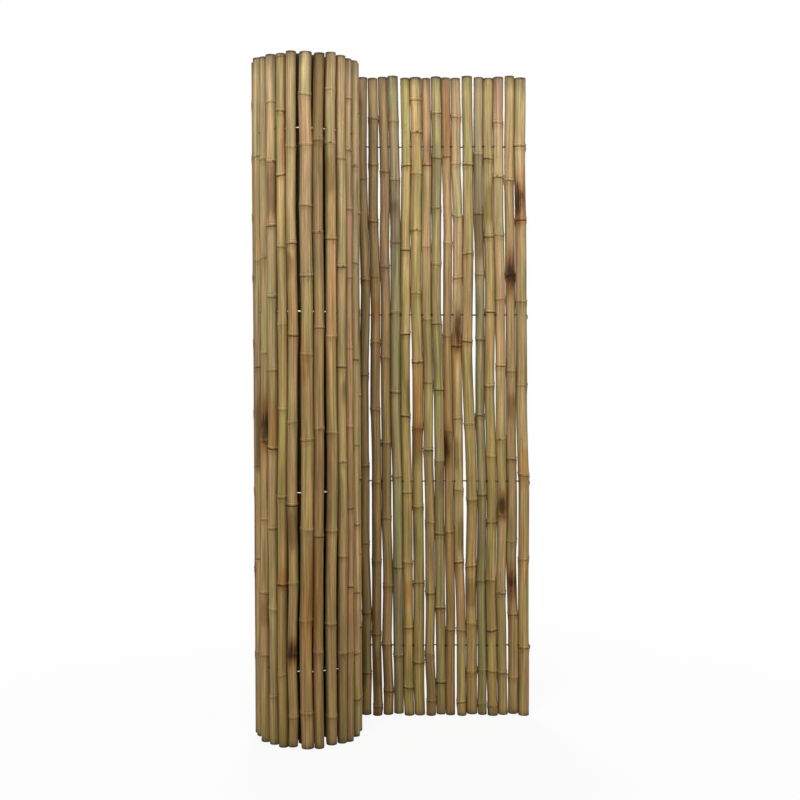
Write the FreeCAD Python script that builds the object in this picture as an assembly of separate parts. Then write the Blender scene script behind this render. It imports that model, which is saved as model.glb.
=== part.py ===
"""Bamboo fence panel: drilled canes strung on four wires, partly unrolled from its roll.

Frame: +Z is up, the canes stand on z = 0, the flat run goes from the roll towards +X,
and -Y is the side that the roll's outer face turns to.  All lengths are millimetres.
"""
import FreeCAD, Part
import math
import os

from FreeCAD import Vector

# Driving dimensions of the mat
CANE_LENGTH = 1829.0          # six feet
CANE_SIDES = 10               # flats round the drawn section of a cane
TAPER = 0.05                  # share of its thickness that a cane loses from butt to tip
KNUCKLE_BEND = 0.4            # sideways step of a cane at one of its knuckles
MAT_LEAN = 8.0                # how far the tops of the canes stand towards -X of their feet
MAT_SKEW = 8.0                # how far they are pushed along the wires towards the core, besides

# Driving dimensions of the roll
ROLL_CANES = 54               # canes still rolled up
ROLL_RADIUS = 149.0           # from the roll's axis to the first rolled cane
TURN_GAP = 0.8                # least space between one turn and the next

# Driving dimensions of the wires
WIRE_SIZE = 2.0               # thickness of the galvanised wire
WIRE_CLEARANCE = 0.8          # space on each side of the wire in its hole
WIRE_HEIGHTS = {"lowest_wire": 0.111, "lower_wire": 0.37, "upper_wire": 0.631, "top_wire": 0.8935}
TAIL_REACH = 6.0              # how far a wire's end stands out of the last cane
TAIL_DROP = 14.0              # how far it is then bent down

# Canes of the flat run, from the roll to the free edge: thickness, space to the cane before it,
# and how far its top leans towards the roll beyond the skew of the mat
FLAT_CANES = (
    (25.0, 1.5, 0.0), (25.5, 1.6, -1.0), (27.5, 1.5, -2.0), (26.5, 1.4, -3.0),
    (27.0, 2.0, -4.0), (27.5, 3.2, 0.0), (27.5, 2.2, 0.0), (28.5, 1.9, 0.0),
    (27.0, 1.9, -1.5), (31.5, 2.3, 1.0), (27.0, 2.5, 1.5), (28.0, 2.2, 3.0),
    (25.5, 1.3, 3.5), (27.0, 1.8, 5.0), (31.0, 3.0, 2.0), (26.5, 1.9, 3.5),
    (28.0, 2.3, 2.5), (28.5, 1.4, 3.0), (28.5, 1.2, 3.0), (31.0, 2.1, 4.0),
)

# Canes of the roll, from the flat run inwards and then over again: the same three values
ROLLED_PATTERN = (
    (27.5, 3.4, 0.0), (28.0, 7.8, -1.0), (27.0, 6.0, -3.0), (25.0, 1.8, -3.0), (28.5, 9.0, -1.0),
    (28.0, 7.8, -2.0), (29.0, 7.5, 0.0), (28.0, 10.5, -2.0), (28.5, 9.8, 0.0), (28.0, 9.8, 1.0),
    (27.0, 4.1, -2.0), (26.0, 6.0, -4.0), (26.0, 1.7, -5.0), (32.0, 8.6, 1.0),
)

# Uneven work: how high each cane stands, where its knuckles are and which way it steps there
RISES = (0.0, 4.0, 1.5, 0.0, 5.5, 2.5, 0.0, 3.0, 6.0, 0.5, 2.0)
KNUCKLE_HEIGHTS = ((0.20, 0.48, 0.78), (0.26, 0.54, 0.73), (0.23, 0.50, 0.81))
KNUCKLE_SIDES = ((1, -1, 1), (-1, 1, 0), (0, 1, -1), (-1, 0, 1))


class Cane:
    """Place of one cane: centre and run of the wire in plan, thickness, lean, and butt down or up."""

    def __init__(self, centre, along, size, number):
        self.centre = centre
        self.along = along
        self.diameter = size[0]
        self.own_lean = size[2]
        self.butt = 1 if number % 2 else -1
        self.rise = RISES[number % len(RISES)]
        self.knuckles = KNUCKLE_HEIGHTS[number % len(KNUCKLE_HEIGHTS)]
        self.sides = KNUCKLE_SIDES[number % len(KNUCKLE_SIDES)]


def mat_shift(height):
    """Sideways shift of the whole mat at a height, from its lean."""
    return Vector(MAT_LEAN * (0.5 - height / CANE_LENGTH), 0, height)


def rolled_size(index):
    return ROLLED_PATTERN[index % len(ROLLED_PATTERN)]


def spacing(first, second):
    """Distance from one cane's centre to the next one's, over the space before the second."""
    return (first[0] + second[0]) / 2 + second[1]


def roll_canes():
    """Canes along a spiral that starts level with the flat run at the back of the roll."""
    thickest = max(size[0] for size in ROLLED_PATTERN)
    shrink = (thickest + TURN_GAP) / (2 * math.pi)
    start = math.pi / 2 - math.atan(shrink / ROLL_RADIUS)
    canes = []
    turned = 0.0
    for index in range(ROLL_CANES):
        size = rolled_size(index)
        if index:
            turned += spacing(rolled_size(index - 1), size) / (ROLL_RADIUS - shrink * turned)
        radius = ROLL_RADIUS - shrink * turned
        outward = Vector(math.cos(start + turned), math.sin(start + turned), 0)
        onward = Vector(-outward.y, outward.x, 0)
        along = (onward * radius - outward * shrink).normalize()
        canes.append(Cane(outward * radius, along, size, index))
        canes[-1].turn = int(turned / (2 * math.pi))
    return canes


def flat_canes(first_rolled):
    """Canes of the flat run, which leaves the roll along the wire of its first cane."""
    canes = []
    centre = first_rolled.centre
    before = rolled_size(0)
    for number, size in enumerate(FLAT_CANES, 1):
        centre = centre - first_rolled.along * spacing(before, size)
        canes.append(Cane(centre, first_rolled.along, size, number))
        before = size
    return canes


def cane_section(centre, along, diameter):
    """Closed outline of a cane, with flats that face along the wire and a round cane's area."""
    turn = 2 * math.pi / CANE_SIDES
    corner = diameter / 2 * math.sqrt(turn / math.sin(turn))
    across = Vector(-along.y, along.x, 0)
    points = []
    for side in range(CANE_SIDES + 1):
        angle = (side % CANE_SIDES + 0.5) * turn
        points.append(centre + along * (corner * math.cos(angle)) + across * (corner * math.sin(angle)))
    return Part.makePolygon(points)


def wire_hole(cane, height):
    """Straight bore for one wire, along the wire's run through the cane."""
    bore = WIRE_SIZE + 2 * WIRE_CLEARANCE
    reach = 2 * cane.diameter
    hole = Part.makeBox(reach, bore, bore, Vector(-reach / 2, -bore / 2, -bore / 2))
    hole.rotate(Vector(), Vector(0, 0, 1), math.degrees(math.atan2(cane.along.y, cane.along.x)))
    hole.translate(cane.centre + mat_shift(height))
    return hole


def cane_solid(cane, in_view):
    """A cane: sections lofted from foot to top, skewed and stepping aside if in view, then drilled."""
    stations = [(0.0, 0), (1.0, 0)]
    skew = 0.0
    if in_view:
        stations[1:1] = zip(cane.knuckles, cane.sides)
        skew = MAT_SKEW + cane.own_lean
    sections = []
    for share, side in stations:
        aside = skew * (share - 0.5) + KNUCKLE_BEND * side
        thickness = cane.diameter * (1 + TAPER * cane.butt * (0.5 - share))
        centre = cane.centre + cane.along * aside + mat_shift(cane.rise + share * CANE_LENGTH)
        sections.append(cane_section(centre, cane.along, thickness))
    culm = Part.makeLoft(sections, True, True)
    holes = [wire_hole(cane, share * CANE_LENGTH) for share in WIRE_HEIGHTS.values()]
    return culm.cut(holes).Solids[0]


def crossing(first, second):
    """Point where the wire's run through one cane meets its run through the next."""
    between = second.centre - first.centre
    turn = first.along.x * second.along.y - first.along.y * second.along.x
    reach = (between.x * second.along.y - between.y * second.along.x) / turn
    return first.centre + first.along * reach


def wire_end(cane, outward):
    """Corner and tip of a wire's end, bent down beside the last cane that it comes out of."""
    corner = cane.centre + outward * (cane.diameter / 2 + TAIL_REACH)
    return corner, corner - Vector(0, 0, TAIL_DROP)


def wire_route(flat, rolled):
    """Bends of a wire in plan, from its end at the free edge to its end in the core."""
    free_corner, free_tip = wire_end(flat[-1], flat[-1].along * -1)
    core_corner, core_tip = wire_end(rolled[-1], rolled[-1].along)
    bends = [crossing(first, second) for first, second in zip(rolled, rolled[1:])]
    return [free_tip, free_corner] + bends + [core_corner, core_tip]


def wire_solid(route, height):
    """A wire: one square section swept along its route, with mitred bends."""
    half = WIRE_SIZE / 2
    path = [point + mat_shift(height) for point in route]
    corners = [Vector(-half, -half, 0), Vector(half, -half, 0), Vector(half, half, 0), Vector(-half, half, 0)]
    section = Part.makePolygon([path[0] + corner for corner in corners + corners[:1]])
    return Part.makePolygon(path).makePipeShell([section], True, False, 1)


def build_parts():
    """All pieces by node name."""
    rolled = roll_canes()
    flat = flat_canes(rolled[0])
    outer = [cane for cane in rolled if cane.turn == 0]
    parts = {}
    for number, cane in enumerate(flat, 1):
        parts["panel_cane_%02d" % number] = cane_solid(cane, True)
    for number, cane in enumerate(outer, 1):
        parts["roll_cane_%02d" % number] = cane_solid(cane, True)
    for name, turns in (("second_turn_canes", (1,)), ("core_canes", (2, 3))):
        inner = [cane_solid(cane, False) for cane in rolled if cane.turn in turns]
        parts[name] = Part.makeCompound(inner)
    route = wire_route(flat, rolled)
    for name, share in WIRE_HEIGHTS.items():
        parts[name] = wire_solid(route, share * CANE_LENGTH)
    return parts


def export_parts(parts):
    """Every piece moved so that the middle of the whole footprint is the origin."""
    box = Part.makeCompound(list(parts.values())).BoundBox
    shift = Vector(-box.Center.x, -box.Center.y, -box.ZMin)
    os.makedirs("parts", exist_ok=True)
    for name, shape in parts.items():
        shape.translate(shift)
        shape.exportStep("parts/%s.step" % name)
    print("%d nodes, %.0f x %.0f x %.0f mm" % (len(parts), box.XLength, box.YLength, box.ZLength))


export_parts(build_parts())
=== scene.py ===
# %% [markdown]
# # A bamboo fence panel, half unrolled
#
# The real thing is a mat of bamboo canes. Each cane is drilled through at four heights, and four
# galvanised wires are threaded through all of them. One end of the mat is still rolled up, and the
# other stands flat. The CAD model gives every cane and wire its place and size. This file gives
# them the round, knuckly, sun-dried look of real bamboo.

# %% Load the CAD model
import math

import bpy
import numpy as np
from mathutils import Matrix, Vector


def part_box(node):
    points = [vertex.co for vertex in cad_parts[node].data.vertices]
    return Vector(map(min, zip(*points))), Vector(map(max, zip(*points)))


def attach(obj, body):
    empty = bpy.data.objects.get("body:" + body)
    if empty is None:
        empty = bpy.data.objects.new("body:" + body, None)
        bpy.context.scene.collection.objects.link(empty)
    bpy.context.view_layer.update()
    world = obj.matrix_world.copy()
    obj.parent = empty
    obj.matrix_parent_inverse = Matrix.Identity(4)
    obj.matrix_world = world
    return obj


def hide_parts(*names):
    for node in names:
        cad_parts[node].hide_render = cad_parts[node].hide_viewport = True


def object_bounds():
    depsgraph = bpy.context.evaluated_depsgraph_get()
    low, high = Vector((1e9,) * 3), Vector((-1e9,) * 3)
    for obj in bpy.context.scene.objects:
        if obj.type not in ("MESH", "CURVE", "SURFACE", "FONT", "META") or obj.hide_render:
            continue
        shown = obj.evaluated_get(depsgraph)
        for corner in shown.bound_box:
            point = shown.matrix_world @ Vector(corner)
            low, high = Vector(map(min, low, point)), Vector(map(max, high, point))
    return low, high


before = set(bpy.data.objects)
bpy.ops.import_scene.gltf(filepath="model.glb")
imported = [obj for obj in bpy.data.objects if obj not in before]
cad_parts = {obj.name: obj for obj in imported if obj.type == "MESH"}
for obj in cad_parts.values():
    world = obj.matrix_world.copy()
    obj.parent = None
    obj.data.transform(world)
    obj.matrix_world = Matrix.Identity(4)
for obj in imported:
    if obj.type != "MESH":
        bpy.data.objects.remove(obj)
cad_box = [list(corner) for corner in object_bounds()]
MM = 0.001
print("CAD nodes:", len(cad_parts), "box:", np.round(cad_box, 3).tolist())

# %% [markdown]
# ## The camera
#
# The picture was taken square on, from about chest height, so upright canes stay upright in it.
# A camera could be tilted down to frame the mat, but then the canes would lean together. This one is
# tilted by about a degree, too little to notice, and its picture is shifted a little for the
# rest. The values were found by measuring the photograph, which is taken as 800 pixels square.

# %% Place the camera
IMAGE_SIZE = 800
FOCAL_PIXELS = 1142.2
PICTURE_RISE = 23.0      # pixels by which the shift lifts everything in the picture
TILT = math.radians(1.1)
CAMERA_PLACE = (0.01447, -3.1413, 1.0390)

camera = bpy.data.objects.new("photo_camera", bpy.data.cameras.new("photo_camera"))
camera.data.sensor_width = 36.0
camera.data.lens = camera.data.sensor_width * FOCAL_PIXELS / IMAGE_SIZE
camera.data.shift_y = -PICTURE_RISE / IMAGE_SIZE
camera.location = CAMERA_PLACE
camera.rotation_euler = (math.pi / 2 - TILT, 0, 0)
bpy.context.scene.collection.objects.link(camera)
bpy.context.scene.camera = camera
print("lens: %.1f mm, shift: %.3f" % (camera.data.lens, camera.data.shift_y))

# %% [markdown]
# ## Where each cane stands
#
# In CAD a cane is a ten-sided loft through a few level sections. The corners of those sections say
# where the cane's middle is at each height and how thick it is there, which is all that a rounder
# cane needs. A node that holds several canes is first split into its separate solids: corners that
# belong to the same face belong to the same cane.

# %% Read the canes from the CAD model
CAD_SIDES = 10
ROUND_SHARE = 0.967      # radius of a round cane over the corner radius of a ten-sided one


def separate_solids(node):
    """Corner points of each solid in a CAD node, in the order in which they were built."""
    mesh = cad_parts[node].data
    points = np.array([vertex.co for vertex in mesh.vertices], dtype=float)
    corners, where = np.unique(points.round(5), axis=0, return_inverse=True)
    where = where.reshape(-1)
    owner = list(range(len(corners)))

    def first_of(corner):
        while owner[corner] != corner:
            corner = owner[corner]
        return corner

    for face in mesh.polygons:
        ids = [int(where[vertex]) for vertex in face.vertices]
        for other in ids[1:]:
            owner[first_of(other)] = first_of(ids[0])
    solids = {}
    for corner in where:
        solids.setdefault(first_of(int(corner)), set()).add(int(corner))
    return [corners[sorted(ids)] for ids in solids.values()]


def cane_axis(points):
    """Rows of height, middle x, middle y and radius, one for each section of a CAD cane."""
    heights = points[:, 2].round(4)
    rows = []
    for height in np.unique(heights):
        ring = points[heights == height]
        if len(ring) == CAD_SIDES:
            middle = ring.mean(axis=0)
            radius = np.linalg.norm(ring[:, :2] - middle[:2], axis=1).mean() * ROUND_SHARE
            rows.append((height, middle[0], middle[1], radius))
    return np.array(rows)


PANEL_CANES = sorted((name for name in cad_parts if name.startswith("panel_cane")), reverse=True)
ROLL_CANES = sorted(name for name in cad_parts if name.startswith("roll_cane"))
INNER_NODES = ["second_turn_canes", "core_canes"]
WIRES = ["lowest_wire", "lower_wire", "upper_wire", "top_wire"]
CAD_WIRE_RADIUS = 1.0 * MM

canes = []               # along the wire, from the free edge to the core: node name and axis
for node in PANEL_CANES + ROLL_CANES + INNER_NODES:
    for points in separate_solids(node):
        canes.append((node, cane_axis(points)))
wire_heights = [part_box(wire)[1][2] - CAD_WIRE_RADIUS for wire in WIRES]
print("canes:", len(canes), "sections of the first:", len(canes[0][1]))

# %% [markdown]
# ## What each cane looks like
#
# No two canes are alike. The ones that face the viewer are described one by one: a colour, the places
# of the knuckles in hundredths of the length from the top, and which of those have the darkest
# line. Stains are listed in the same way, with the side that they are on. The canes that can't be
# seen in the photograph get the same kind of description from seeded random numbers.

# %% Describe the canes in view
COLOURS = {
    "tan": (169, 146, 108), "pale": (183, 161, 121), "yellow": (175, 154, 107),
    "olive": (161, 148, 106), "grey": (151, 139, 108), "orange": (168, 136, 99),
    "pink": (168, 140, 108), "brown": (155, 131, 95),
}
CANES_IN_VIEW = {
    # canes 05 to 07 stand in the shadow of the roll, and their brown is partly painted shade
    "panel_cane_05": ("brown", (16, 31.7, 46.6, 60.8, 73.1, 84, 93.6), ()),
    "panel_cane_06": ("brown", (6.4, 13.7, 22.4, 31.2, 41.3, 52, 63.3, 75.8, 87.3, 98.8), ()),
    "panel_cane_07": ("brown", (15, 29.7, 44, 57.2, 69.2, 79.8, 89.1, 96.4), ()),
    "panel_cane_08": ("grey", (7.3, 16.3, 26.1, 37, 49.5, 62.8, 77.1, 91), ()),
    "panel_cane_09": ("yellow", (13.8, 26.9, 40.1, 52.9, 65, 76, 86.3, 95.7), (0, 1, 2, 3)),
    "panel_cane_10": ("yellow", (3.7, 8.7, 15.2, 23.9, 33.9, 44.5, 55, 67.2, 79.3, 91.8), (5,)),
    "panel_cane_11": ("tan", (13.6, 26.4, 37.8, 47.7, 58.2, 69.7, 80.8, 90.4, 97.9), (0, 4)),
    "panel_cane_12": ("olive", (5.8, 12.8, 20.6, 29.4, 38.6, 49, 60.2, 71.7, 83.3, 95.1), (5, 7, 8, 9)),
    "panel_cane_13": ("orange", (12.4, 26, 40.5, 55.4, 71.2, 86.7), ()),
    "panel_cane_14": ("pale", (6.2, 13.5, 21.7, 31.3, 41.9, 53.3, 64.5, 75.9, 86.7, 98), (4, 7)),
    "panel_cane_15": ("yellow", (13.9, 27.8, 41.5, 54.5, 66.4, 76.8, 85.9, 93.5), (0, 2)),
    "panel_cane_16": ("grey", (12.2, 21.4, 30.9, 41, 53, 65.4, 79.1, 93.1, 98.5), (4,)),
    "panel_cane_17": ("yellow", (12.7, 24.8, 36.6, 48.1, 59.3, 69.6, 78.8, 86.6, 93.2, 98.6), (0, 1, 2, 7)),
    "panel_cane_18": ("pale", (7.3, 15.7, 24.8, 34.7, 45.2, 56.7, 68.8, 80.9, 93.6), ()),
    "panel_cane_19": ("tan", (16.3, 31.3, 46.2, 60, 72.9, 84.5, 94.4), (1,)),
    "panel_cane_20": ("pale", (10.7, 22.2, 35, 48.2, 62.2, 75.5, 89.4), (1,)),
    "roll_cane_09": ("pale", (14.6, 29.8, 45.4, 60, 73.7, 87.7), ()),
    "roll_cane_10": ("pale", (15, 29.3, 43.1, 55.9, 67.5, 78.1, 87.5), ()),
    "roll_cane_11": ("pale", (7.1, 15.5, 24.8, 35, 45.7, 56.9, 68.7, 80.4, 93.3), (2, 5)),
    "roll_cane_12": ("yellow", (0.6, 8.3, 17.5, 27.8, 39, 51.2, 63.9, 76.5, 89.8), (2, 7)),
    "roll_cane_13": ("tan", (13.8, 27.6, 40.7, 53.3, 65.1, 76.5, 86.8, 95.9), (1, 2, 4)),
    "roll_cane_14": ("tan", (6.3, 13.4, 22.1, 32.1, 43.4, 55.6, 68.6, 81.7, 95.1), ()),
    "roll_cane_15": ("brown", (12.7, 25.8, 39.5, 54, 69.5, 86.3), ()),
    "roll_cane_16": ("tan", (5.6, 13.2, 27, 41, 55, 69.1, 82.7, 96.1), ()),
    "roll_cane_17": ("tan", (15.1, 30.6, 45.2, 59, 72.9, 87), (1, 2)),
    "roll_cane_18": ("pink", (6, 13.4, 22.1, 32, 42.4, 53.8, 65.9, 77.2, 87), (7,)),
    "roll_cane_19": ("pale", (15.6, 30, 44.1, 56.9, 68.6, 78.7, 87.7, 94.7), ()),
}
print("canes described by hand:", len(CANES_IN_VIEW))

# %% Describe the stains in view
LEFT, MIDDLE, RIGHT = -50, 0, 50     # degrees round the cane, as the viewer sees it
STAINS = {                           # cane: (kind, from, to, side)
    "panel_cane_06": [("rust", 35, 38, MIDDLE)],
    "panel_cane_08": [("smudge", 20, 22, MIDDLE)],
    "panel_cane_09": [("rust", 79, 82, MIDDLE)],
    "panel_cane_10": [("rust", 46, 58, MIDDLE), ("smudge", 54, 60, MIDDLE)],
    "panel_cane_12": [("pink", 30, 38, LEFT)],
    "panel_cane_13": [("scorch", 55, 61, LEFT), ("rust", 2, 12, RIGHT)],
    "panel_cane_14": [("scorch", 36.5, 43, 25), ("smudge", 56.5, 61, LEFT), ("smudge", 69, 74, RIGHT)],
    "panel_cane_15": [("smudge", 79, 83, MIDDLE)],
    "panel_cane_16": [("smudge", 21.5, 28, MIDDLE)],
    "panel_cane_17": [("pink", 38, 45, RIGHT)],
    "panel_cane_18": [("scorch", 65, 69, MIDDLE)],
    "panel_cane_19": [("scorch", 28, 34, MIDDLE), ("smudge", 50.5, 53, MIDDLE), ("scorch", 77, 82, MIDDLE)],
    "panel_cane_20": [("scorch", 15.5, 22.5, -25), ("rust", 58, 64, MIDDLE), ("pink", 70, 78, MIDDLE)],
    "roll_cane_09": [("smudge", 50, 57, MIDDLE)],
    "roll_cane_10": [("smudge", 79, 83, MIDDLE)],
    "roll_cane_11": [("smudge", 16.5, 23, MIDDLE), ("rust", 50, 57, MIDDLE)],
    "roll_cane_12": [("rust", 74, 77, MIDDLE)],
    "roll_cane_13": [("pink", 28, 42, MIDDLE), ("smudge", 66, 71, MIDDLE), ("scorch", 84.5, 88, MIDDLE)],
    "roll_cane_14": [("rust", 70, 86, RIGHT)],
    "roll_cane_15": [("smudge", -4, 14, MIDDLE), ("rust", 70, 86, LEFT)],
    "roll_cane_16": [("pink", 20, 45, RIGHT)],
}
print("stains described by hand:", sum(len(marks) for marks in STAINS.values()))

# %% Describe the other canes
LOOK_SEED = 4000                     # each use of random numbers has a seed of its own
LAST_PLACE = 99
CLOSER_AT_TOP = (7.5, 1.07)          # first space between two knuckles, and its growth to the next one
CLOSER_AT_FOOT = (16.0, 0.94)
DARK_LINE_CHANCE = 0.25
STAIN_CHANCES = {"smudge": 0.4, "rust": 0.3, "scorch": 0.1, "pink": 0.2}


def linear_colour(srgb):
    """A colour written as 0 to 255, as the light values that Blender works in."""
    share = np.array(srgb) / 255.0
    return np.where(share > 0.04045, ((share + 0.055) / 1.055) ** 2.4, share / 12.92)


def invented_knuckles(dice):
    """Places of knuckles that grow wider apart one way along the cane, as on a real one."""
    gap, growth = CLOSER_AT_TOP if dice.random() < 0.5 else CLOSER_AT_FOOT
    places = [dice.uniform(0.2, 0.9) * gap]
    while places[-1] + gap < LAST_PLACE:
        gap *= growth
        places.append(places[-1] + gap * dice.uniform(0.95, 1.05))
    return tuple(place for place in places if place < LAST_PLACE)


def invented_stains(dice):
    """Two soft marks, somewhere on the cane."""
    marks = []
    for kind in dice.choice(list(STAIN_CHANCES), size=2, p=list(STAIN_CHANCES.values())):
        start = dice.uniform(5, 90)
        marks.append((str(kind), start, start + dice.uniform(2, 8), dice.uniform(-180, 180)))
    return marks


def describe(node, number):
    """Colour, knuckles, darkness of each knuckle's line and stains of one cane."""
    dice = np.random.default_rng(LOOK_SEED + number)
    if node in CANES_IN_VIEW:
        colour, places, darkest = CANES_IN_VIEW[node]
        stains = STAINS.get(node, []) + invented_stains(dice)[:1]
    else:
        colour = str(dice.choice(list(COLOURS)))
        places = invented_knuckles(dice)
        darkest = [i for i in range(len(places)) if dice.random() < DARK_LINE_CHANCE]
        stains = invented_stains(dice)
    darkness = [1.0 if i in darkest else dice.uniform(0.55, 0.9) for i in range(len(places))]
    return {"colour": linear_colour(COLOURS[colour]), "places": places,
            "darkness": darkness, "stains": stains}


print("an invented cane:", np.round(describe("second_turn_canes", 50)["places"], 1).tolist())

# %% [markdown]
# ## The shape of a cane
#
# A bamboo cane is a hollow stem with a knuckle every hand's width or so. At a knuckle there is the
# thin lip where a sheath leaf was attached, a narrow waist, and a rounded ridge above it. A bud or
# the stub of a twig sits just over the lip, on alternate sides, and a shallow trough runs up the
# stem from it.
#
# Stacking rings of points is the most direct way to get all of that. Rings lie close together at
# the knuckles and far apart between them, and each point's distance from the middle is the sum of
# a few bell curves. Displacing a plain cylinder with a texture would need many more faces for the
# same lip.

# %% Profile of a knuckle
KNUCKLE_FORMS = (            # height above the sheath lip, width and size, in mm
    (-0.1, 0.9, 0.80),       # the lip
    (2.2, 1.3, -0.50),       # the waist
    (6.4, 2.7, 1.00),        # the ridge
    (-5.0, 5.0, 0.40),       # the swelling under the lip
    (2.0, 18.0, 0.50),       # the thickening of the whole knuckle
)


def bell(distance, width):
    """A smooth bump that is 1 at no distance and fades out over about twice the width."""
    return np.exp(-(distance / width) ** 2)


def knuckle_swell(above):
    """How far a knuckle stands out, in mm, over the height in mm above its sheath lip."""
    return sum(size * bell(above - height, width) for height, width, size in KNUCKLE_FORMS)


print("swell at lip, waist, ridge:", np.round(knuckle_swell(np.array([0, 2.2, 6.4])), 2).tolist())

# %% Rings of one cane
KNUCKLE_STEPS = np.array([-40, -26, -15, -9, -5.5, -3, -1.6, -0.8, -0.2, 0.5, 1.2, 2.1, 3.2, 4.4, 5.6,
                          6.8, 8.2, 10, 12.5, 17, 26, 40]) * MM
HOLE_STEPS = np.array([-5, -2.6, -1.5, -0.7, 0, 0.7, 1.5, 2.6, 5]) * MM
END_STEPS = np.array([0.5, 2, 4.5, 9]) * MM
END_CLEARANCE = 10 * MM      # stretch at each end that has only the rings of END_STEPS
EVEN_CLEARANCE = 8 * MM      # least distance from an evenly spaced ring to one of a knuckle or hole
LEAST_STEP = 0.3 * MM
FINE_SPACING = 40 * MM
COARSE_SPACING = 90 * MM     # for hidden canes, which also get fewer rings at knuckles


def ring_heights(foot, top, knuckles, spacing):
    """Heights of the rings of points: even ones, and closer ones at knuckles and wire holes."""
    if spacing < COARSE_SPACING:
        close = [knuckle + KNUCKLE_STEPS for knuckle in knuckles]
        close += [height + HOLE_STEPS for height in wire_heights]
    else:
        close = [knuckle + KNUCKLE_STEPS[3::3] for knuckle in knuckles]
    close = np.concatenate(close)
    even = np.arange(foot + spacing / 2, top, spacing)
    even = even[np.abs(even[:, None] - close[None, :]).min(axis=1) > EVEN_CLEARANCE]
    heights = np.sort(np.concatenate([close, even]))
    heights = heights[(heights > foot + END_CLEARANCE) & (heights < top - END_CLEARANCE)]
    return heights[np.concatenate([[True], np.diff(heights) > LEAST_STEP])]


def heights_at(axis, places):
    """Heights of places that are given in hundredths of a cane's length from its top."""
    foot, top = axis[0, 0], axis[-1, 0]
    return top - np.array(places) / 100 * (top - foot)


def cane_rings(axis, knuckles, spacing):
    """Heights, middles and radii of a cane's rings."""
    foot, top = axis[0, 0], axis[-1, 0]
    heights = ring_heights(foot, top, knuckles, spacing)
    heights = np.concatenate([foot + END_STEPS, heights, top - END_STEPS[::-1]])
    middle = np.stack([np.interp(heights, axis[:, 0], axis[:, column]) for column in (1, 2)], axis=1)
    radius = np.interp(heights, axis[:, 0], axis[:, 3])
    return heights, middle, radius


first_node, first_axis = canes[0]
first_knuckles = heights_at(first_axis, CANES_IN_VIEW[first_node][1])
print("rings of the cane at the free edge:", len(cane_rings(first_axis, first_knuckles, FINE_SPACING)[0]))

# %% [markdown]
# ## How the canes bend
#
# A cane changes direction a little at every knuckle. Canes that hang side by side on a wire also
# wander together: where one bows out, the next one has to follow. Bending each cane by itself would
# push some of them through their neighbours, so the wander is worked out for the whole mat at once.
# A cane gets a share of a slow wave and a step of its own at each knuckle. Wherever two canes would
# then overlap, they push each other apart, over and over, until all of them have room.

# %% Bends of one cane
ABOVE_ALL = 2.0                          # a height over the tops of all canes
JOG_START, JOG_END = 4 * MM, 7 * MM      # a jog begins this far below a lip and ends this far above it
WAVES = (                                # length in m, size in mm, and drift from cane to cane
    (1.30, 1.3, 0.30),
    (0.64, 0.8, -0.50),
    (0.38, 0.5, 0.80),
)


def own_steps(heights, knuckles, dice, reach):
    """Small sideways steps of one cane, which changes direction at its knuckles."""
    bends = np.concatenate([[0.0], np.sort(knuckles), [ABOVE_ALL]])
    return np.interp(heights, bends, dice.uniform(-reach, reach, len(bends)))


def jogs(heights, knuckles, dice, reach):
    """Sudden small change at each knuckle: one value for each stretch between two of them."""
    edges = np.sort(knuckles)
    bends = np.stack([edges - JOG_START, edges + JOG_END], axis=1).ravel()
    values = np.repeat(dice.normal(0, reach, len(edges) + 1), 2)[1:-1]
    return np.interp(heights, bends, values)


def shared_wave(number, heights):
    """Slow sideways wave that runs through the mat, in step with the neighbouring canes."""
    return sum(size * MM * np.sin(2 * math.pi * heights / length + drift * number)
               for length, size, drift in WAVES)


print("slow wave at the foot of the first cane: %.1f mm" % (shared_wave(0, 0.05) / MM))

# %% Wander of the whole mat
WANDER_SEED = 300
SKIN_SHARE = 1.02        # radius between knuckles over the radius that the CAD cane has
LEVELS = np.linspace(0, 1.84, 185)
FLAT_BEND = 5.0 * MM     # how far a cane of the flat run may step aside at a knuckle
ROLL_BEND = 2.6 * MM     # the same for a cane of the roll, which is held on all sides
LEAST_GAP = 0.2 * MM
HOOK_ROOM = 4.0 * MM     # kept at the free edge for the ends of the wires
PUSHES = 100


def free_wander(number):
    """Wander that a cane would have by itself: a slow wave, and a step at each knuckle."""
    node, axis = canes[number]
    if node in INNER_NODES:
        return np.zeros(len(LEVELS))
    dice = np.random.default_rng(WANDER_SEED + number)
    knuckles = heights_at(axis, describe(node, number)["places"])
    reach = FLAT_BEND if node in PANEL_CANES else ROLL_BEND
    return shared_wave(number, LEVELS) + own_steps(LEVELS, knuckles, dice, reach)


def mat_column(column):
    """One column of every cane's axis at LEVELS, with a row for each cane."""
    return np.array([np.interp(LEVELS, axis[:, 0], axis[:, column]) for node, axis in canes])


def mat_wander():
    """Wander of each cane along the wires at LEVELS, after canes that would overlap push each other apart."""
    wander = np.array([free_wander(number) for number in range(len(canes))])
    x, y, radius = mat_column(1), mat_column(2), mat_column(3)
    apart = np.hypot(np.diff(x, axis=0), np.diff(y, axis=0))
    room = apart - (radius[1:] + radius[:-1]) * SKIN_SHARE - LEAST_GAP
    inner = np.array([node in INNER_NODES for node, axis in canes])
    free_edge = x[0] + radius[0] + HOOK_ROOM - cad_box[1][0]
    for push in range(PUSHES):
        short = np.clip(-room - np.diff(wander, axis=0), 0, None) / 2
        wander[1:] += short
        wander[:-1] -= short
        wander[inner] = 0
        wander[0] = np.maximum(wander[0], free_edge)
    return wander


WANDER = mat_wander()
print("largest wander: %.1f mm" % (np.abs(WANDER).max() / MM))

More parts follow.
